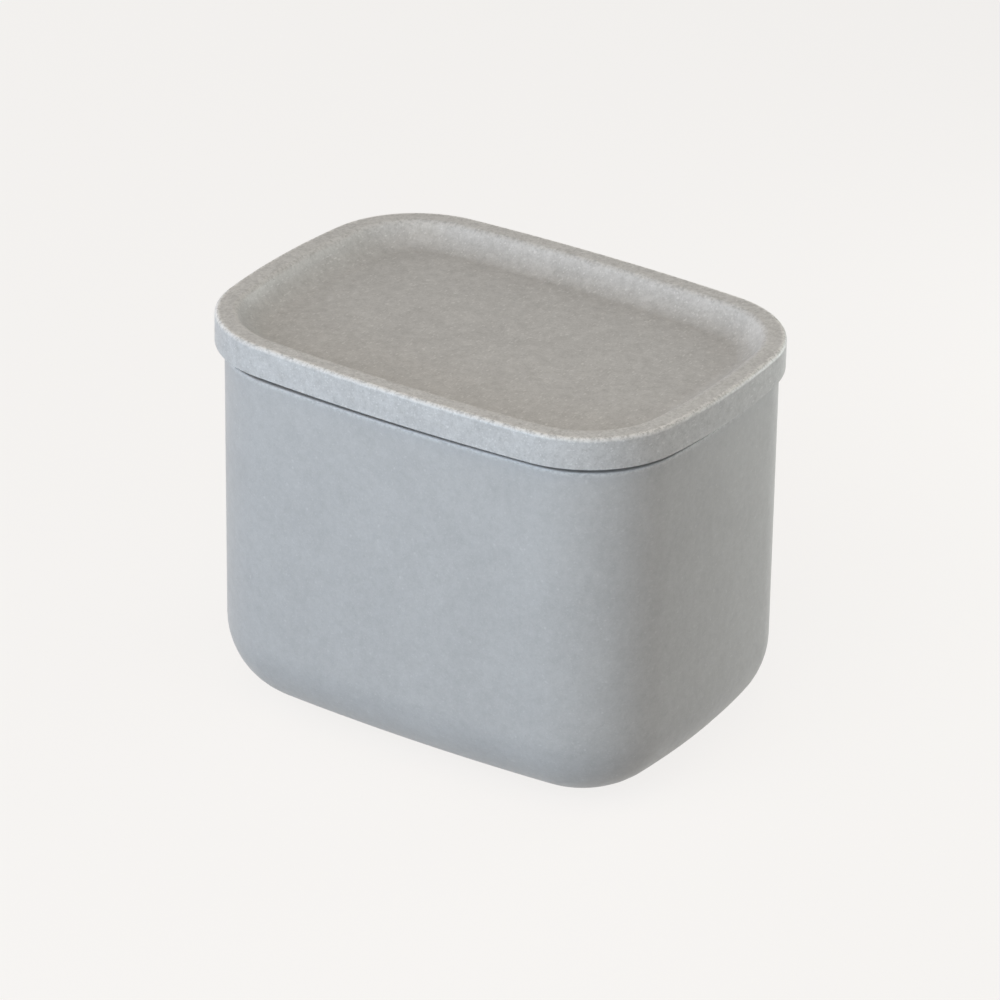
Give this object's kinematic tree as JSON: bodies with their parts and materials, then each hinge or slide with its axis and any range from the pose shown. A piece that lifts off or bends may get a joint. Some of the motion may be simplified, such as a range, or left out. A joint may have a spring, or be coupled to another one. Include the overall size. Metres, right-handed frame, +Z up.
{
  "type": "bathroom canister",
  "caption": "Lidded bathroom jar: a softly bowed rounded box with a large base round and a loose lid whose top is a shallow tray.",
  "frame": {"origin": "under the middle of the body, on the plane that the four pads stand on", "axes": "+X to the right along the long side, +Y to the back, +Z up"},
  "size_m": [0.1406, 0.1034, 0.1117],
  "materials": {
    "body_composite": "moulded, finely flecked fibre composite, matte",
    "lid_composite": "moulded, finely flecked fibre composite, matte, sanded at its edges",
    "pad_rubber": "soft matte"
  },
  "bodies": {
    "canister": {"canister_body": "body_composite", "pad_front_left": "pad_rubber", "pad_front_right": "pad_rubber", "pad_back_left": "pad_rubber", "pad_back_right": "pad_rubber"},
    "lid": {"tray_lid": "lid_composite"}
  },
  "joints": [
    {"name": "lid_lift", "type": "slide", "parent": "canister", "child": "lid", "axis": [0, 0, 1], "range_m": [0, 0.1]}
  ]
}
